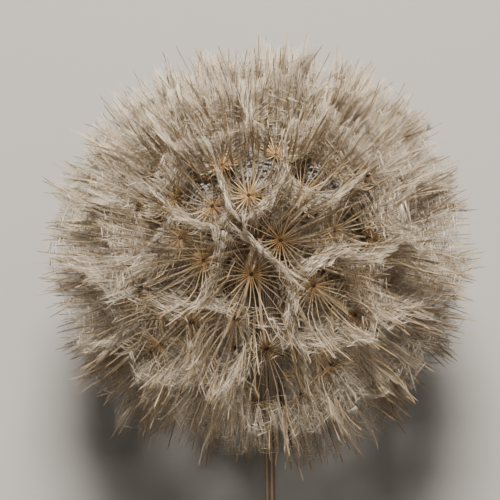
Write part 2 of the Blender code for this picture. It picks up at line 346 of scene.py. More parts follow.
@functools.lru_cache(maxsize=1)
def plant_to_world():
    """Tips the plant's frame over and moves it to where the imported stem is."""
    tip = Matrix.Rotation(STEM_SLOPE, 4, "X")
    low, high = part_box("stem")
    top = tip @ Vector(stem_centre(STEM_TOP))
    below_top = stem_centre(STEM_TOP + 0.003)
    tangent = tip.to_3x3() @ Vector(below_top - stem_centre(STEM_TOP)).normalized()
    reach = [stem_radius(STEM_TOP) * math.sqrt(1 - tangent[axis] ** 2) for axis in range(3)]
    place = Vector((low.x + reach[0] - top.x, high.y - reach[1] - top.y, high.z - reach[2] - top.z))
    return Matrix.Translation(place) @ tip


def to_world(points):
    matrix = np.array(plant_to_world())
    return points @ matrix[:3, :3].T + matrix[:3, 3]


def press_on_floor(points, clearance):
    """Bends what would go through the floor outwards along it."""
    below = -(HEAD_REST - clearance) - points @ FLOOR_NORMAL
    below = np.maximum(below, 0.0)[..., None]
    flat = points - (points @ FLOOR_NORMAL)[..., None] * FLOOR_NORMAL
    return points + below * FLOOR_NORMAL + 0.7 * below * unit(flat)


def wall_room(walls, centre, side, past):
    """How far each ray can go sideways before it is this far past the wall to a neighbouring seed."""
    ahead = side @ walls.T
    behind = centre @ walls.T
    return np.where(ahead > 0.05, (past - behind) / np.maximum(ahead, 0.05), 1.0).min(axis=1)


def corner_turns(walls, hub, axes):
    """The turns round a seed at which three parachutes meet, where its rays bundle."""
    turns = np.arange(0, math.tau, math.radians(4))
    above = np.repeat(1.2 * hub[None], len(turns), axis=0)
    room = wall_room(walls, above, sideways(turns, *axes), 0.0)
    return turns[(room > np.roll(room, 1)) & (room >= np.roll(room, -1))]


def turned_away(number):
    """0 for a seed that faces the viewer, up to 1 for those at the globe's edge and behind."""
    return 1 - max(unit(hub_places()[number])[2], 0.0) ** 2


def turns_to_tufts(turns, tufts):
    """How far each ray would have to turn round its seed to reach the nearest tuft."""
    away = (tufts[None] - turns[:, None] + math.pi) % math.tau - math.pi
    return away[np.arange(len(turns)), np.abs(away).argmin(axis=1)]


def ray_table(number, crossing):
    """The paths of one seed's rays, ray by step by place.

    Each leans out until it meets a neighbour and then rises. The share that crosses over runs on first.
    """
    draw = np.random.default_rng(1000 + number)
    rays = bpy.context.scene.seed_head_globe.rays
    hub = hub_places()[number]
    direction = unit(hub)
    axes = side_axes(direction)
    others = np.concatenate((np.delete(unit(hub_places()), number, axis=0), STEM_DIRECTION[None]))
    walls = unit(others - direction)

    turns = (np.arange(rays) + draw.uniform(*TURN_JITTER, rays)) * math.tau / rays
    turns = turns + draw.uniform(0, math.tau)
    tufts = np.concatenate((corner_turns(walls, hub, axes), draw.uniform(0, math.tau, STRAY_TUFTS)))
    away = turns_to_tufts(turns, tufts)
    pull = draw.uniform(*TUFT_PULL, rays) * away
    spread = np.radians(draw.normal(*SPREAD_LEAN, rays))
    edge = turned_away(number)
    upright = np.radians(draw.normal(*UPRIGHT_LEAN, rays) + FLARE_LEAN * edge)
    give = draw.uniform(*SHORT_OF_WALL, rays)
    further = draw.uniform(*PAST_WALL, rays)
    give = np.where(draw.random(rays) < crossing, further, give)
    rise = np.zeros(rays)
    reach = np.zeros(rays)
    path = [np.repeat(hub[None], rays, axis=0)]
    for share in np.arange(FINE_STEPS) / FINE_STEPS:
        bend = np.clip((share - BEND_START) / BEND_SPAN, 0, 1)
        lean = spread + (upright - spread) * bend * bend * (3 - 2 * bend)
        turn = turns + pull * np.clip((share - PULL_START) / PULL_SPAN, 0, 1) ** PULL_CURVE
        side = sideways(turn, *axes)
        past = CELL_OVERLAP + FLARE * edge * np.clip((share - FLARE_START) / FLARE_SPAN, 0, 1)
        room = wall_room(walls, hub + rise[:, None] * direction, side, past) * give
        out = np.clip(WALL_EASE * (room - reach), -BACK_STEP * FINE_STEP, FINE_STEP * np.sin(lean))
        reach = np.maximum(reach + out, 0)
        rise = rise + np.sqrt(FINE_STEP**2 - out**2)
        path.append(hub + rise[:, None] * direction + reach[:, None] * side)
    path = np.array(path).transpose(1, 0, 2)

    end = GLOBE_RADIUS + draw.uniform(*SEED_ENDS) + draw.normal(0, RAY_ENDS_VARY, rays)
    end -= SHORT_BELOW * max(-direction[1] - SHORT_FROM, 0.0)
    in_tufts = np.abs(away).argsort()[: rays // 3]
    end[in_tufts] += draw.uniform(*TUFT_ENDS, len(in_tufts))
    within = np.linalg.norm(path, axis=2) < np.minimum(end, FURTHEST_TIP)[:, None]
    last = within.sum(axis=1).clip(FINE_STEPS // 3, FINE_STEPS)
    points = at_steps(path, RAY_SHARES * last[:, None])
    points = ruffled(points, direction, sideways(turns, *axes), edge, draw)
    return press_on_floor(points, RAY_CLEARANCE)


def ruffled(points, direction, side, edge, draw):
    """Rays with a slight wave along them and tips that curl, most of all at the globe's edge."""
    rays = len(points)
    across = np.cross(direction, side)[:, None]
    wave = np.sin(math.tau * (RAY_SHARES * draw.uniform(*WAVES, (rays, 1)) + draw.uniform(0, 1, (rays, 1))))
    wave = wave * RAY_SHARES**WAVE_CURVE * draw.uniform(0, WAVE_SIZE, (rays, 1))
    curl = np.clip((RAY_SHARES - CURL_START) / (1 - CURL_START), 0, 1) ** 2
    curl = (FACING_CURL + (1 - FACING_CURL) * edge) * curl
    points = points + wave[..., None] * across
    points = points + (draw.normal(0, CURL_ACROSS, (rays, 1)) * curl)[..., None] * across
    return points + (draw.normal(0, CURL_OUT, (rays, 1)) * curl)[..., None] * side[:, None]


@functools.lru_cache(maxsize=2)
def ray_tables(crossing=0.0):
    return np.array([ray_table(number, crossing) for number in range(SEED_COUNT)])


def at_steps(paths, place):
    """Points on paths, which are path by step by place, at steps that may have a fraction."""
    step = np.minimum(place.astype(int), paths.shape[1] - 2)
    along = (place - step)[..., None]
    row = np.arange(len(paths))[:, None]
    return paths[row, step] * (1 - along) + paths[row, step + 1] * along


def on_table(table, ray, share):
    """Places between the rays: a ray number with a fraction, and a share of the length."""
    row = np.floor(ray).astype(int)
    between = (ray - row)[:, None]
    place = np.clip(share, 0, 1)[:, None] * (table.shape[1] - 1)
    low, high = (at_steps(table[beside % len(table)], place)[:, 0] for beside in (row, row + 1))
    return low * (1 - between) + high * between


def select_only(obj):
    bpy.ops.object.select_all(action="DESELECT")
    obj.select_set(True)
    bpy.context.view_layer.objects.active = obj


def take_template(obj):
    """The points and the triangles of an object, which is then removed."""
    mesh = obj.data
    mesh.calc_loop_triangles()
    points = np.array([vertex.co for vertex in mesh.vertices])
    faces = np.array([triangle.vertices for triangle in mesh.loop_triangles])
    bpy.data.objects.remove(obj, do_unlink=True)
    return points, faces


def strand_template(end_radius=0.0, cuts=()):
    """A straight three-sided strand from 0 to 1 along Z, with a base of radius 1 and rings at the cuts."""
    bpy.ops.mesh.primitive_cone_add(
        vertices=3, radius1=1, radius2=end_radius, depth=1, location=(0, 0, 0.5),
    )
    strand = bpy.context.active_object
    bpy.ops.object.transform_apply()
    bpy.ops.object.mode_set(mode="EDIT")
    for height in cuts:
        bpy.ops.mesh.select_all(action="SELECT")
        bpy.ops.mesh.bisect(plane_co=(0, 0, height), plane_no=(0, 0, 1))
    bpy.ops.object.mode_set(mode="OBJECT")
    return take_template(strand)


def bend_copies(template, paths, radii, turns):
    """Lays a copy of the template along each path: copy by vertex by place."""
    points = template[0]
    place = np.clip(points[:, 2], 0, 1) * (paths.shape[1] - 1)
    column = np.minimum(place.astype(int), paths.shape[1] - 2)
    centre = at_steps(paths, place[None])
    tangent = unit(paths[:, column + 1] - paths[:, column])
    helper = np.stack((np.cos(turns), np.sin(turns), 0.31 + 0 * turns), axis=1)[:, None]
    across = unit(np.cross(tangent, helper))
    other = np.cross(tangent, across)
    width = points[None, :, :2] * np.asarray(radii).reshape(-1, 1, 1)
    return centre + width[..., :1] * across - width[..., 1:] * other


def mesh_of_copies(name, template, places, maps):
    """One mesh that holds all the copies, with the map that their finish is drawn on."""
    faces = template[1]
    copies, corners = places.shape[:2]
    triangles = (faces[None] + corners * np.arange(copies)[:, None, None]).reshape(-1, 3)
    mesh = bpy.data.meshes.new(name)
    mesh.vertices.add(copies * corners)
    mesh.vertices.foreach_set("co", to_world(places.reshape(-1, 3)).astype(np.float32).ravel())
    mesh.loops.add(triangles.size)
    mesh.loops.foreach_set("vertex_index", triangles.astype(np.int32).ravel())
    mesh.polygons.add(len(triangles))
    mesh.polygons.foreach_set("loop_start", np.arange(0, triangles.size, 3, dtype=np.int32))
    layer = mesh.uv_layers.new(name="OFBake")
    layer.uv.foreach_set("vector", maps.reshape(-1, 2)[triangles.ravel()].astype(np.float32).ravel())
    mesh.update(calc_edges=True)
    mesh.validate()
    obj = bpy.data.objects.new(name, mesh)
    bpy.context.scene.collection.objects.link(obj)
    return obj


def strand_maps(template, starts, ends, shades, width=0.03):
    """A map for each copy: how far out it is on its ray, and its own shade."""
    points = template[0] / np.array((*np.abs(template[0][:, :2]).max(axis=0), 1))
    along = starts[:, None] + (ends - starts)[:, None] * points[None, :, 2]
    along = np.clip(along, *MAP_ALONG) + MAP_OPEN * points[None, :, 1]
    beside = np.clip(shades[:, None] + width * points[None, :, 0], *MAP_BESIDE)
    return np.stack((along, beside), axis=2)


def close_seam(obj):
    """Lets the map run on past its edge where it goes round a piece, and then fits it to its square."""
    layer = obj.data.uv_layers["OFBake"].uv
    maps = np.zeros(2 * len(layer), dtype=np.float32)
    layer.foreach_get("vector", maps)
    maps = maps.reshape(-1, 3, 2)
    round_it = maps[..., 1]
    torn = np.ptp(round_it, axis=1, keepdims=True) > 0.5
    maps[..., 1] = SEAM_FIT * np.where(torn & (round_it < 0.5), round_it + 1, round_it)
    layer.foreach_set("vector", maps.ravel())


def place_piece(obj, nodes, material, smooth_degrees=0):
    """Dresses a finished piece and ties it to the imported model."""
    obj.data.materials.clear()
    obj.data.materials.append(material)
    if smooth_degrees:
        select_only(obj)
        bpy.ops.object.shade_smooth_by_angle(angle=math.radians(smooth_degrees))
    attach(obj, BODY)
    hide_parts(*nodes)
    return obj


class Number:
    """A number that varies over a surface. Arithmetic on it adds the nodes that work it out."""

    def __init__(self, finish, socket):
        self.finish = finish
        self.socket = socket

    def maths(self, operation, *values, clamp=False):
        settings = {"operation": operation, "use_clamp": clamp}
        return self.finish.node("ShaderNodeMath", settings, list(values))

    def __add__(self, other):
        return self.maths("ADD", self, other)

    def __sub__(self, other):
        return self.maths("SUBTRACT", self, other)

    def __rsub__(self, other):
        return self.maths("SUBTRACT", other, self)

    def __mul__(self, other):
        return self.maths("MULTIPLY", self, other)

    def __truediv__(self, other):
        return self.maths("DIVIDE", self, other)

    def __pow__(self, other):
        return self.maths("POWER", self, other)

    __radd__ = __add__

    def limited(self):
        return self.maths("ADD", self, 0.0, clamp=True)


class Finish:
    """One material and the nodes that draw it."""

    def __init__(self, name, roughness):
        self.material = bpy.data.materials.new(name)
        self.material.use_nodes = True
        self.tree = self.material.node_tree
        self.shader = self.tree.nodes["Principled BSDF"]
        self.shader.inputs["Roughness"].default_value = roughness

    def node(self, kind, settings, values, output=0):
        """Adds a node: its settings first, then its sockets, by their order or their names."""
        node = self.tree.nodes.new(kind)
        for name, value in settings.items():
            if name == "stops":
                self.set_stops(node.color_ramp, value)
            else:
                setattr(node, name, value)
        for name, value in values.items() if isinstance(values, dict) else enumerate(values):
            if isinstance(value, Number):
                self.tree.links.new(value.socket, node.inputs[name])
            else:
                node.inputs[name].default_value = value
        return Number(self, node.outputs[output])

    @staticmethod
    def set_stops(ramp, stops):
        while len(ramp.elements) > 1:
            ramp.elements.remove(ramp.elements[-1])
        ramp.elements[0].position = stops[0][0]
        ramp.elements[0].color = (*stops[0][1], 1.0)
        for position, colour in stops[1:]:
            ramp.elements.new(position).color = (*colour, 1.0)

    def mix(self, share, first, second, blend="MIX"):
        """A colour between two others. Plain colours are given as three numbers."""
        first, second = ((*c, 1.0) if isinstance(c, tuple) else c for c in (first, second))
        settings = {"data_type": "RGBA", "blend_type": blend, "clamp_factor": True}
        return self.node("ShaderNodeMix", settings, {0: share, 6: first, 7: second}, output=2)

    def ramp(self, number, stops):
        return self.node("ShaderNodeValToRGB", {"stops": stops}, [number])

    def places(self):
        return self.node("ShaderNodeTexCoord", {}, {}, output="Object")

    def strand(self):
        """How far out a point is on its ray, and its strand's own shade."""
        uv = self.node("ShaderNodeUVMap", {"uv_map": "OFBake"}, {})
        along = self.node("ShaderNodeSeparateXYZ", {}, [uv])
        shade = Number(self, along.socket.node.outputs[1])
        return along, shade

    def noise(self, vector, scale):
        values = {"Vector": vector, "Scale": scale, "Detail": 3.0, "Roughness": 0.55}
        return self.node("ShaderNodeTexNoise", {}, values)

    def feed(self, name, value):
        self.tree.links.new(value.socket, self.shader.inputs[name])

    def bump(self, height, strength, distance):
        values = {"Height": height, "Strength": strength, "Distance": distance}
        self.feed("Normal", self.node("ShaderNodeBump", {}, values))


def web_finish(settings, name):
    """Pale hairs that turn brown near the hub, partly their own tone and partly painted shade deep in the
    cups, each with its own tone.
    """
    finish = Finish(name, 0.75)
    along, shade = finish.strand()
    hub_brown_and_shade = (0.13, 0.089, 0.053)
    colour = finish.mix(shade, tuple(settings.web_dark_and_painted_shade), tuple(settings.web_colour))
    # Browner towards the hub: partly the hairs' own tone, partly painted shade where the cups and the
    # globe's inside lie in shadow.
    near_hub_tone_and_shade = ((0.52 - along) / 0.34).limited() * 0.86
    finish.feed("Base Color", finish.mix(near_hub_tone_and_shade, colour, hub_brown_and_shade))
    return finish.material


def strand_finish(name, roughness, stops, own_share, darkest, palest):
    """A finish with these colours along a strand, and a shade of its own for each strand."""
    finish = Finish(name, roughness)
    along, shade = finish.strand()
    own = finish.mix(shade, darkest, palest)
    finish.feed("Base Color", finish.mix(own_share, finish.ramp(along, stops), own, "MULTIPLY"))
    return finish


def ray_finish(settings):
    """Rays that go from dark brown at the hub through ochre to straw, and then to a light brown."""
    stops = [
        (0.0, tuple(settings.hub_colour)), (0.03, (0.24, 0.125, 0.04)), (0.09, tuple(settings.ray_colour)),
        (0.2, (0.52, 0.39, 0.23)), (0.36, (0.52, 0.41, 0.27)), (0.5, (0.40, 0.30, 0.18)),
        (0.97, (0.32, 0.225, 0.125)),
    ]
    return strand_finish("ray", 0.6, stops, 0.9, (0.40, 0.37, 0.33), (1.7, 1.7, 1.65)).material


def nutlet_finish(settings):
    """Brown ribbed nutlets that turn into straw beaks with a dark hub."""
    stops = [
        (0.0, (0.12, 0.07, 0.035)), (0.3, (0.075, 0.044, 0.025)), (0.42, (0.30, 0.21, 0.12)),
        (0.55, (0.48, 0.36, 0.22)), (0.88, (0.44, 0.32, 0.18)), (0.93, (0.26, 0.15, 0.06)),
        (0.98, tuple(settings.hub_colour)),
    ]
    finish = strand_finish("nutlet", 0.7, stops, 0.4, (0.6, 0.6, 0.6), (1.3, 1.25, 1.2))
    finish.bump(finish.noise(finish.places(), 2600.0), 0.6, 0.0001)
    return finish.material


def receptacle_finish():
    """A tan dome with a dark pit for each nutlet."""
    finish = Finish("receptacle", 0.8)
    values = {"Vector": finish.places(), "Scale": 620.0}
    pits = finish.node("ShaderNodeTexVoronoi", {"feature": "F1"}, values)
    stops = [(0.0, (0.09, 0.05, 0.025)), (0.5, (0.30, 0.21, 0.12)), (1.0, (0.42, 0.32, 0.2))]
    finish.feed("Base Color", finish.ramp(pits, stops))
    finish.bump(pits, 0.7, 0.0004)
    return finish.material


def bract_finish(settings):
    """Dark brown dried blades with blotches, tan veins along them and pale tips."""
    finish = Finish("bract", 0.9)
    blotch, vein, tip = (0.085, 0.060, 0.038), (0.30, 0.22, 0.14), (0.50, 0.42, 0.32)
    along, across = finish.strand()
    turn = across * 44.0
    veins = turn.maths("SINE", turn) * 0.5 + 0.5
    blotches = finish.noise(finish.places(), 240.0)
    colour = finish.mix((blotches - 0.45) * 1.4, tuple(settings.bract_colour), blotch)
    colour = finish.mix((veins**6.0) * (0.25 + blotches), colour, vein)
    near_tip = ((along - 0.8) * 6.0).limited() * 0.85
    finish.feed("Base Color", finish.mix(near_tip, colour, tip))
    finish.bump(veins, 0.5, 0.00012)
    return finish.material


def stem_finish(settings):
    """Dark brown bark with paler ribs and streaks along it."""
    finish = Finish("stem", 0.62)
    streak = (0.22, 0.15, 0.09)
    turn = finish.strand()[1] * (math.tau * STEM_RIBS / SEAM_FIT)
    ribs = turn.maths("COSINE", turn) * -0.5 + 0.5
    values = {"Vector": finish.places(), "Rotation": (STEM_SLOPE, 0, 0), "Scale": (2200, 90, 2200)}
    streaks = finish.noise(finish.node("ShaderNodeMapping", {}, values), 1.0)
    colour = finish.mix((ribs**3.0) * 0.75, tuple(settings.stem_colour), tuple(settings.rib_colour))
    finish.feed("Base Color", finish.mix((streaks - 0.4) * 1.5, colour, streak))
    finish.bump(streaks, 0.4, 0.00008)
    return finish.material


def colour_setting(name, description, default):
    return FloatVectorProperty(
        name=name, description=description, default=default, subtype="COLOR", min=0, max=1,
    )


class GlobeSettings(bpy.types.PropertyGroup):
    rays: IntProperty(name="Rays", description="Rays of each parachute", default=28, min=6)
    crossing_hairs: IntProperty(
        name="Crossing hairs", description="Short hairs of each parachute, from ray to ray",
        default=2000, min=10,
    )
    streaming_hairs: IntProperty(
        name="Long hairs", description="Hairs of each parachute that run along its rays",
        default=780, min=10,
    )
    ray_radius: FloatProperty(
        name="Ray radius", description="Half the thickness of a ray at the hub",
        default=0.0001, unit="LENGTH", subtype="DISTANCE", precision=5,
    )
    hair_radius: FloatProperty(
        name="Hair radius", description="Half the thickness of the widest fine hair",
        default=0.000045, unit="LENGTH", subtype="DISTANCE", precision=6,
    )
    web_colour: colour_setting("Web", "The palest hairs", (0.84, 0.715, 0.545))
    # The darkest hairs: partly their own tone, partly painted shade for hairs in shadow
    web_dark_and_painted_shade: colour_setting("Web shade", "The darkest hairs", (0.14, 0.098, 0.062))
    ray_colour: colour_setting("Ray", "The ochre of the rays", (0.43, 0.27, 0.11))
    hub_colour: colour_setting("Hub", "The dark middle of a parachute", (0.045, 0.022, 0.010))


class StalkSettings(bpy.types.PropertyGroup):
    stem_colour: colour_setting("Stem", "The stem between its ribs", (0.12, 0.078, 0.048))
    rib_colour: colour_setting("Ribs", "The ribs of the stem", (0.50, 0.38, 0.26))
    bract_colour: colour_setting("Bracts", "The dried bracts", (0.045, 0.030, 0.019))


class StageSettings(bpy.types.PropertyGroup):
    floor_colour: colour_setting("Floor", "The plain floor", (0.37, 0.352, 0.325))
    key_power: FloatProperty(
        name="Key light", description="The soft main light", default=15.8, unit="POWER",
    )
    fill_power: FloatProperty(
        name="Fill light", description="The weaker light from the front", default=0.5, unit="POWER",
    )


class SEED_HEAD_OT_receptacle(bpy.types.Operator):
    """Makes the dome that the nutlets stand in"""

    bl_idname = "seed_head.receptacle"
    bl_label = "Receptacle"

    def execute(self, context):
        bpy.ops.mesh.primitive_uv_sphere_add(segments=32, ring_count=20, radius=DOME_RADIUS)
        dome = context.active_object
        dome.name = "receptacle"
        bpy.ops.object.mode_set(mode="EDIT")
        bpy.ops.mesh.bisect(
            plane_co=(0, -DOME_FLAT, 0), plane_no=(0, 1, 0), clear_inner=True, use_fill=True,
        )
        bpy.ops.object.mode_set(mode="OBJECT")
        dome.data.transform(plant_to_world())
        place_piece(dome, ["seed_head"], receptacle_finish(), 40)
        return {"FINISHED"}


def nutlet_template():
    """A nutlet with its beak and hub, from 0 to 1 along Z, extruded along its profile and ribbed."""
    bpy.ops.mesh.primitive_circle_add(
        vertices=NUTLET_SIDES, radius=NUTLET_PROFILE[0][1], fill_type="NGON",
    )
    nutlet = bpy.context.active_object
    bpy.ops.object.mode_set(mode="EDIT")
    bpy.ops.mesh.select_all(action="SELECT")
    for (below, width), (height, radius) in zip(NUTLET_PROFILE, NUTLET_PROFILE[1:]):
        bpy.ops.mesh.extrude_region_move(TRANSFORM_OT_translate={"value": (0, 0, height - below)})
        bpy.ops.transform.resize(value=(radius / width, radius / width, 1))
    bpy.ops.mesh.inset(thickness=0.25, depth=-0.012)
    bpy.ops.mesh.select_all(action="SELECT")
    bpy.ops.mesh.normals_make_consistent()
    bpy.ops.object.mode_set(mode="OBJECT")
    points, faces = take_template(nutlet)
    across, above, height = points.T
    corner = np.round(np.arctan2(above, across) / (math.tau / NUTLET_SIDES)).astype(int)
    ribbed = (height > NUTLET_RIBBED[0]) & (height < NUTLET_RIBBED[1]) & (corner % 2 == 0)
    points[ribbed, :2] *= NUTLET_GROOVE
    return points, faces


def root_place(direction):
    """Where a nutlet stands on the dome: the lower ones crowd round its edge and splay down."""
    polar = math.acos(np.clip(direction[1], -1, 1)) * ROOT_CROWDING
    around = unit(np.array((direction[0], 0.0, direction[2])))
    outwards = math.sin(polar) * around + np.array((0.0, math.cos(polar), 0.0))
    return (DOME_RADIUS - ROOT_DEPTH) * outwards


class SEED_HEAD_OT_nutlets(bpy.types.Operator):
    """Makes the ribbed nutlets with their beaks and hubs"""

    bl_idname = "seed_head.nutlets"
    bl_label = "Nutlets"

    def execute(self, context):
        template = nutlet_template()
        hubs = hub_places()
        roots = np.array([root_place(unit(hub)) for hub in hubs])
        tops = hubs + HUB_DOME * unit(hubs)
        steps = np.linspace(0, 1, 9)[None, :, None]
        draw = np.random.default_rng(7)
        sag = unit(draw.normal(size=(SEED_COUNT, 3)))[:, None] * np.sin(math.pi * steps)
        paths = roots[:, None] * (1 - steps) + tops[:, None] * steps + NUTLET_SAG * sag
        turns = draw.uniform(0, math.tau, SEED_COUNT)
        places = bend_copies(template, paths, np.full(SEED_COUNT, 0.001), turns)
        shades = draw.uniform(0.3, 0.7, SEED_COUNT)
        maps = strand_maps(template, np.zeros(SEED_COUNT), np.ones(SEED_COUNT), shades, width=0.25)
        piece = mesh_of_copies("nutlets", template, places, maps)
        place_piece(piece, ["seed_head"], nutlet_finish(context.scene.seed_head_globe), 50)
        return {"FINISHED"}


def in_picture(points):
    """Where points are seen in the plane through the head's centre."""
    return points[..., :2] / (1 - points[..., 2:] / CAMERA_DISTANCE)


def missing_share(places, middles, radii):
    """How surely a strand is missing: nearly always at the middle of a clearing, never beyond it."""
    apart = np.linalg.norm(places[:, None] - middles[None], axis=2)
    return np.clip(CLEARING_EDGE - CLEARING_EDGE * apart / radii, 0, CLEAREST)


def in_clearing(points, around_hub, in_gaps):
    """How surely a strand is missing because it would hide a hub that faces the viewer or close a gap."""
    hubs = hub_places()[: len(FRONT_HUBS_MM)]
    places = in_picture(points)
    before = points[:, None, 2] > hubs[None, :, 2] + ABOVE_HUB
    over_hub = (before * missing_share(places, in_picture(hubs), around_hub)).max(axis=1)
    gaps = 0.001 * np.array(GAPS_MM)
    over_gap = in_gaps * missing_share(places, gaps[:, :2], gaps[:, 2]).max(axis=1)
    return np.maximum(over_hub, np.where(points[:, 2] > GAP_DEPTH, over_gap, 0))


class SEED_HEAD_OT_rays(bpy.types.Operator):
    """Makes the rays that spread from every hub"""

    bl_idname = "seed_head.rays"
    bl_label = "Rays"

    def execute(self, context):
        settings = context.scene.seed_head_globe
        points, faces = strand_template(cuts=RAY_CUTS)
        along = points[:, 2]
        swelling = (0.6 + 0.4 * np.clip(along / RAY_CUTS[0], 0, 1)) * (1 + 0.1 * along)
        taper = np.clip(1 - along, 0, 1)
        points[:, :2] *= np.where(taper > 0.01, swelling / np.maximum(taper, 0.01), 1)[:, None]
        paths = ray_tables(CROSSING_RAYS).reshape(-1, RAY_STEPS + 1, 3)
        missing = in_clearing(paths.reshape(-1, 3), RAY_CLEARING, 0.0) > RAY_MISSING
        missing = missing.reshape(paths.shape[:2])
        missing[:, : RAY_STEPS // 3] = False
        last = np.where(missing.any(axis=1), missing.argmax(axis=1), RAY_STEPS)
        paths = at_steps(paths, RAY_SHARES * last[:, None])
        draw = np.random.default_rng(11)
        count = len(paths)
        radii = settings.ray_radius * draw.uniform(*RAY_WIDTHS, count)
        places = bend_copies((points, faces), paths, radii, draw.uniform(0, math.tau, count))
        shades = draw.uniform(*SHADE_LIMITS, count)
        maps = strand_maps((points, faces), np.zeros(count), last / RAY_STEPS, shades)
        piece = mesh_of_copies("rays", (points, faces), places, maps)
        place_piece(piece, ["seed_head"], ray_finish(settings), 80)
        return {"FINISHED"}


def hairs_between(number, draw, ray, across, share, ahead, stray, alike):
    """Hairs that start on a seed's rays and run across and outwards.

    Gives their paths, the shares of a ray at which they start and end, and their shades. The larger
    the last value is, the more alike in shade are the hairs of one ray.
    """
    table = ray_tables()[number]
    count = len(ray)
    limit = WEB_END + draw.normal(0, WEB_END_VARIES) + draw.normal(0, WEB_END_VARIES, count)
    far = np.maximum(np.minimum(share + ahead, limit), share - HAIR_BACK)
    astray = draw.normal(0, 1, (count, 3))
    astray = astray * np.where(draw.random(count) < WILD_HAIRS, WILDER * stray, stray)[:, None]
    start = on_table(table, ray, share)
    middle = on_table(table, ray + across / 2, (share + far) / 2) + MIDDLE_ASTRAY * astray
    end = on_table(table, ray + across, far) + astray
    paths = press_on_floor(np.stack((start, middle, end), axis=1), HAIR_CLEARANCE)
    # Dark and pale hairs at random: partly their own tone, partly painted shade
    own = draw.beta(*SHADE_CURVE, count)
    of_ray = draw.beta(*SHADE_CURVE, len(table))[np.round(ray).astype(int) % len(table)]
    # Each seed's own random tone, plus painted light that makes the hairs of the top seeds paler
    seed_tone_and_top_light = draw.normal(0, SHADE_VARIES) + TOP_PAINTED_LIGHT * max(unit(hub_places()[number])[1], 0.0)
    shade = np.clip(own + alike * (of_ray - own) + seed_tone_and_top_light, *SHADE_LIMITS)
    seen = draw.random(count) > in_clearing(middle, HUB_CLEARING, 1.0)
    return paths[seen], share[seen], far[seen], shade[seen]


def density(number, at_heights):
    """How dense a seed's hairs are at its height on the globe."""
    return np.interp(unit(hub_places()[number])[1], DENSITY_HEIGHTS, at_heights)


def worn(number, share, draw):
    """Which hairs a seed has kept. Those that face the viewer have lost some below the web's ridges."""
    hub = hub_places()[number]
    off = math.dist(hub[:2], FACING_MIDDLE) / FACING_WIDTH if hub[2] > 0 else 1.0
    kept = FACING_SHARE + (1 - FACING_SHARE) * min(off, 1.0) ** 2
    return (share > RIDGE) | (draw.random(len(share)) < kept)


def shade_backs_windows(number):
    """Whether a seed is on the far side, where its web is seen through the gaps near the top and gets extra
    dark, wider hairs as painted shade.
    """
    across, above, radius = BACKED_MM
    hub = 1000 * hub_places()[number]
    return hub[2] < BACKED_BELOW_MM and math.hypot(hub[0] - across, hub[1] - above) < radius


def crossing_hairs(number, count):
    """One seed's short hairs, which cross from ray to ray, with more dark low hairs near the hubs behind
    the top gaps as painted shade.
    """
    draw = np.random.default_rng(5000 + number)
    count = round(count * density(number, WEB_DENSITY))
    low = draw.random(count) < LOW_HAIRS
    reach = WEB_ACROSS
    if shade_backs_windows(number):
        low = np.concatenate((low, np.full(SHADE_BACKING_HAIRS, True)))
        count = len(low)
        reach = SHADE_BACKING_ACROSS
    low_share = draw.uniform(LOW_START, WEB_START, count)
    share = np.where(low, low_share, WEB_START + WEB_SPAN * draw.beta(*WEB_CURVE, count))
    share = share[low | worn(number, share, draw)]
    count = len(share)
    ray = draw.integers(0, ray_tables().shape[1], count).astype(float)
    across = draw.choice((-1.0, 1.0), count) * draw.uniform(*reach, count)
    ahead = draw.uniform(*WEB_AHEAD, count)
    return hairs_between(number, draw, ray, across, share, ahead, WEB_ASTRAY, WEB_ALIKE)


def streaming_hairs(number, count):
    """One seed's long hairs, which run out along the rays."""
    draw = np.random.default_rng(7000 + number)
    count = round(count * density(number, STREAK_DENSITY))
    share = STREAK_START + WEB_SPAN * draw.beta(*STREAK_CURVE, count)
    share = share[worn(number, share, draw)]
    count = len(share)
    ray = draw.integers(0, ray_tables().shape[1], count) + draw.uniform(*STREAK_BESIDE, count)
    across = draw.choice((-1.0, 1.0), count) * draw.uniform(*STREAK_ACROSS, count)
    straight = draw.uniform(*STRAIGHT_AHEAD, count)
    ahead = np.where(share > STRAIGHT_FROM, straight, draw.uniform(*STREAK_AHEAD, count))
    return hairs_between(number, draw, ray, across, share, ahead, STREAK_ASTRAY, STREAK_ALIKE)


def lay_hairs(name, template, make, count, thickest, pieces):
    """Makes all the seeds' hairs of one kind, in pieces that each hold the seeds of one sector."""
    settings = bpy.context.scene.seed_head_globe
    material = web_finish(settings, name)
    draw = np.random.default_rng(17)
    groups = np.array_split(np.argsort(np.arctan2(*hub_places()[:, :2].T)), pieces)
    for piece, seeds in enumerate(groups):
        hairs = [make(number, count) for number in seeds]
        paths, near, far, shades = (np.concatenate(values) for values in zip(*hairs))
        # Far seeds behind the top gaps get wider hairs, which darken the see-through as painted shade
        widths = [SHADE_BACKING_WIDTH if shade_backs_windows(number) else 1.0 for number in seeds]
        radii = settings.hair_radius * np.repeat(widths, [len(values[0]) for values in hairs])
        thick = draw.random(len(paths)) < THICK_HAIRS
        thicker = draw.uniform(THICK_FROM, thickest, len(paths))
        radii = radii * np.where(thick, thicker, draw.uniform(*FINE_WIDTHS, len(paths)))
        shades = np.where(thick, THICK_SHADE + THICK_SHADES * shades, shades)
        places = bend_copies(template, paths, radii, draw.uniform(0, math.tau, len(paths)))
        maps = strand_maps(template, near, far, shades)
        obj = mesh_of_copies(f"{name}_{piece + 1}", template, places, maps)
        place_piece(obj, ["seed_head"], material)


class SEED_HEAD_OT_web(bpy.types.Operator):
    """Makes the fine hairs that cross from ray to ray"""

    bl_idname = "seed_head.web"
    bl_label = "Web of hairs"

    def execute(self, context):
        count = context.scene.seed_head_globe.crossing_hairs
        lay_hairs("web", strand_template(), crossing_hairs, count, WEB_THICKEST, WEB_PIECES)
        return {"FINISHED"}


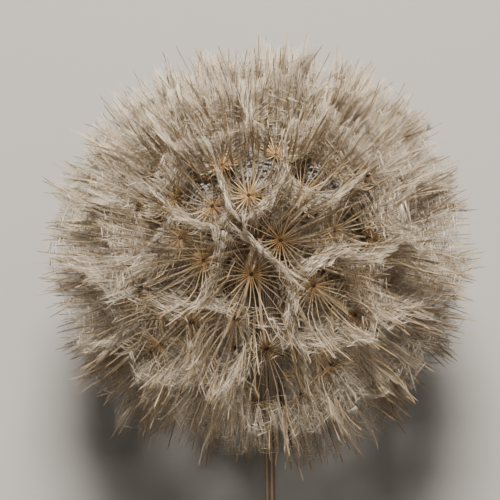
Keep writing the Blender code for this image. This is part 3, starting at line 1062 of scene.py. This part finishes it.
class SEED_HEAD_OT_streaks(bpy.types.Operator):
    """Makes the long hairs that run out along the rays"""

    bl_idname = "seed_head.streaks"
    bl_label = "Long hairs"

    def execute(self, context):
        count = context.scene.seed_head_globe.streaming_hairs
        thread = strand_template(end_radius=THREAD_END)
        lay_hairs("streaks", thread, streaming_hairs, count, STREAK_THICKEST, STREAK_PIECES)
        return {"FINISHED"}


def bract_point(turn, depth, splay):
    """A point on the middle line of the bract at this turn round the stem."""
    share = (depth - STEM_TOP) / BRACT_LENGTH
    waist = BRACT_WAIST * math.sin(math.pi * min(2 * share, 1))
    radius = COLLAR_RADIUS - BRACT_INSET - waist + BRACT_RISE * share
    radius += splay * max(share - SPLAY_START, 0) ** 2 / SPLAY_LENGTH
    return stem_centre(depth) + radius * np.array((math.cos(turn), 0.0, math.sin(turn)))


def make_bract(number):
    """One blade: a grid bent back along the stem and thickened."""
    turn = (number + 0.5) * math.tau / BRACT_COUNT
    length = BRACT_LENGTH * (SHORT_BRACT - SHORTER_BY * (number * 5 % 8) / 8 if number else 1)
    splay = SPLAY[0] + SPLAY[1] * math.sin(2.4 * number) if number else LONG_SPLAY
    start = STEM_TOP + BRACT_START
    bpy.ops.mesh.primitive_grid_add(x_subdivisions=BRACT_COLUMNS, y_subdivisions=BRACT_ROWS, size=2)
    blade = bpy.context.active_object
    draw = np.random.default_rng(300 + number)
    lean = draw.normal(0, BRACT_LEAN)
    outwards = np.array((math.cos(turn), 0.0, math.sin(turn)))
    beside = np.array((-math.sin(turn), 0.0, math.cos(turn)))
    layer = blade.data.uv_layers.new(name="OFBake")
    flat = np.array([vertex.co for vertex in blade.data.vertices])
    for vertex, (across, along, _) in zip(blade.data.vertices, flat):
        share = (1 - along) / 2
        half = 0.5 * BRACT_WIDTH * (1 - share**BRACT_TAPER[0]) ** BRACT_TAPER[1] + BRACT_TIP
        place = bract_point(turn, start + share * length, splay)
        ripple = BRACT_RIPPLE * math.sin(9 * share + number + 2 * across)
        fold = BRACT_FOLD * half * (1 - abs(across)) + ripple
        place = place + (across * half + lean * share**2) * beside + (fold - 0.1 * half) * outwards
        vertex.co = place
    for loop in blade.data.loops:
        across, along, _ = flat[loop.vertex_index]
        layer.uv[loop.index].vector = (0.02 + 0.96 * (1 - along) / 2, 0.5 + 0.48 * across)
    shell = blade.modifiers.new("blade", "SOLIDIFY")
    shell.thickness = BRACT_THICKNESS
    shell.offset = 0.0
    select_only(blade)
    bpy.ops.object.modifier_apply(modifier=shell.name)
    return blade


class SEED_HEAD_OT_bracts(bpy.types.Operator):
    """Makes the ring of bent-back bracts"""

    bl_idname = "seed_head.bracts"
    bl_label = "Bracts"

    def execute(self, context):
        blades = [make_bract(number) for number in range(BRACT_COUNT)]
        bpy.ops.mesh.primitive_torus_add(
            major_radius=(STEM_TOP_RADIUS + COLLAR_RADIUS) / 2,
            minor_radius=(COLLAR_RADIUS - STEM_TOP_RADIUS) / 2 - 0.0001,
            major_segments=32, minor_segments=10,
            location=Vector(stem_centre(STEM_TOP + 0.0009)), rotation=(math.pi / 2, 0, 0),
        )
        ring = context.active_object
        bpy.ops.object.transform_apply()
        for blade in blades:
            blade.select_set(True)
        context.view_layer.objects.active = blades[0]
        ring.data.uv_layers[0].name = "OFBake"
        ring.select_set(True)
        bpy.ops.object.join()
        bracts = context.active_object
        bracts.name = "bract_blades"
        bracts.data.transform(plant_to_world())
        place_piece(bracts, ["bracts"], bract_finish(context.scene.seed_head_stalk), 45)
        return {"FINISHED"}


class SEED_HEAD_OT_stem(bpy.types.Operator):
    """Makes the ribbed stem with its hollow cut end"""

    bl_idname = "seed_head.stem"
    bl_label = "Stem"

    def execute(self, context):
        bpy.ops.mesh.primitive_circle_add(vertices=4 * STEM_RIBS, radius=1, fill_type="NGON")
        stem = context.active_object
        bpy.ops.object.mode_set(mode="EDIT")
        bpy.ops.mesh.select_all(action="SELECT")
        for _ in range(STEM_RINGS):
            bpy.ops.mesh.extrude_region_move(TRANSFORM_OT_translate={"value": (0, 0, 1 / STEM_RINGS)})
        bpy.ops.mesh.inset(thickness=1 - BORE_RADIUS / STEM_RADIUS)
        bpy.ops.mesh.extrude_region_move(TRANSFORM_OT_translate={"value": (0, 0, -BORE_SHARE)})
        bpy.ops.mesh.select_all(action="SELECT")
        bpy.ops.mesh.normals_make_consistent()
        bpy.ops.object.mode_set(mode="OBJECT")
        points, faces = take_template(stem)
        turn = np.arctan2(points[:, 1], points[:, 0])
        outer = np.linalg.norm(points[:, :2], axis=1) > 0.8
        points[outer, :2] *= (RIB_MIDDLE + RIB_DEPTH * np.cos(STEM_RIBS * turn[outer]))[:, None]
        depths = STEM_TOP + (STEM_REACH - STEM_TOP) * points[:, 2]
        radii = np.array([stem_radius(depth) for depth in depths])
        points[:, :2] *= radii[:, None]
        steps = np.linspace(STEM_TOP, STEM_REACH, STEM_STEPS)
        path = np.array([stem_centre(depth) for depth in steps])[None]
        places = bend_copies((points, faces), path, np.ones(1), np.array([math.pi / 2]))
        along = 0.04 + 0.88 * points[:, 2] + 0.012 * np.sin(turn)
        along[~outer] = 0.98 - 0.5 * (points[~outer, 2] - points[~outer, 2].min())
        maps = np.stack((along, 0.5 + 0.5 * turn / math.pi), axis=1)[None]
        piece = mesh_of_copies("stem_ribbed", (points, faces), places, maps)
        close_seam(piece)
        place_piece(piece, ["stem"], stem_finish(context.scene.seed_head_stalk), 50)
        return {"FINISHED"}


def add_light(name, place, power, colour):
    """A soft light in a direction of the plant's frame, so far away and so wide, aimed at the head."""
    toward, distance, size = place
    centre = plant_to_world() @ Vector((0, 0, 0))
    direction = plant_to_world().to_3x3() @ Vector(toward).normalized()
    bpy.ops.object.light_add(type="AREA", location=centre + distance * direction)
    light = bpy.context.active_object
    light.name = name
    light.rotation_euler = direction.to_track_quat("Z", "Y").to_euler()
    light.data.size = size
    light.data.energy = power
    light.data.color = colour


class SEED_HEAD_OT_stage(bpy.types.Operator):
    """Makes the floor, the lights and the camera"""

    bl_idname = "seed_head.stage"
    bl_label = "Stage"

    def execute(self, context):
        settings = context.scene.seed_head_stage
        bpy.ops.mesh.primitive_plane_add(size=6)
        floor = context.active_object
        floor.name = "floor"
        finish = Finish("floor", 0.9)
        finish.shader.inputs["Base Color"].default_value = (*settings.floor_colour, 1.0)
        floor.data.materials.append(finish.material)
        add_light("key", KEY_LIGHT, settings.key_power, KEY_COLOUR)
        add_light("fill", FILL_LIGHT, settings.fill_power, FILL_COLOUR)
        world = bpy.data.worlds.new("studio")
        context.scene.world = world
        world.use_nodes = True
        background = world.node_tree.nodes["Background"].inputs
        background["Color"].default_value = (*WORLD_COLOUR, 1.0)
        background["Strength"].default_value = WORLD_STRENGTH

        middle = FRAME_PIXELS / 2
        aim = Vector((middle - HEAD_PIXEL[0], HEAD_PIXEL[1] - middle, 0)) * METRES_A_PIXEL
        matrix = plant_to_world() @ Matrix.Translation(aim + Vector((0, 0, CAMERA_DISTANCE)))
        bpy.ops.object.camera_add(location=matrix.to_translation(), rotation=matrix.to_euler())
        camera = context.active_object
        camera.data.sensor_width = SENSOR_WIDTH
        camera.data.lens = SENSOR_WIDTH * CAMERA_DISTANCE / (FRAME_PIXELS * METRES_A_PIXEL)
        camera.data.clip_start = 0.01
        context.scene.camera = camera
        return {"FINISHED"}


OPERATORS = (
    SEED_HEAD_OT_receptacle, SEED_HEAD_OT_nutlets, SEED_HEAD_OT_rays, SEED_HEAD_OT_web,
    SEED_HEAD_OT_streaks, SEED_HEAD_OT_bracts, SEED_HEAD_OT_stem, SEED_HEAD_OT_stage,
)
SETTINGS = {
    "seed_head_globe": GlobeSettings, "seed_head_stalk": StalkSettings, "seed_head_stage": StageSettings,
}


class SEED_HEAD_PT_panel(bpy.types.Panel):
    bl_label = "Seed head"
    bl_space_type = "VIEW_3D"
    bl_region_type = "UI"
    bl_category = "Seed head"

    def draw(self, context):
        for group in SETTINGS:
            settings = getattr(context.scene, group)
            for name in settings.bl_rna.properties.keys():
                if name not in ("rna_type", "name"):
                    self.layout.prop(settings, name)
        for operator in OPERATORS:
            self.layout.operator(operator.bl_idname)


CLASSES = (*SETTINGS.values(), *OPERATORS, SEED_HEAD_PT_panel)


def register():
    for cls in CLASSES:
        bpy.utils.register_class(cls)
    for name, group in SETTINGS.items():
        setattr(bpy.types.Scene, name, PointerProperty(type=group))


def unregister():
    for name in SETTINGS:
        delattr(bpy.types.Scene, name)
    for cls in reversed(CLASSES):
        bpy.utils.unregister_class(cls)


def main():
    register()
    bpy.ops.seed_head.receptacle()
    bpy.ops.seed_head.nutlets()
    bpy.ops.seed_head.rays()
    bpy.ops.seed_head.web()
    bpy.ops.seed_head.streaks()
    bpy.ops.seed_head.bracts()
    bpy.ops.seed_head.stem()
    bpy.ops.seed_head.stage()


if __name__ == "__main__":
    main()
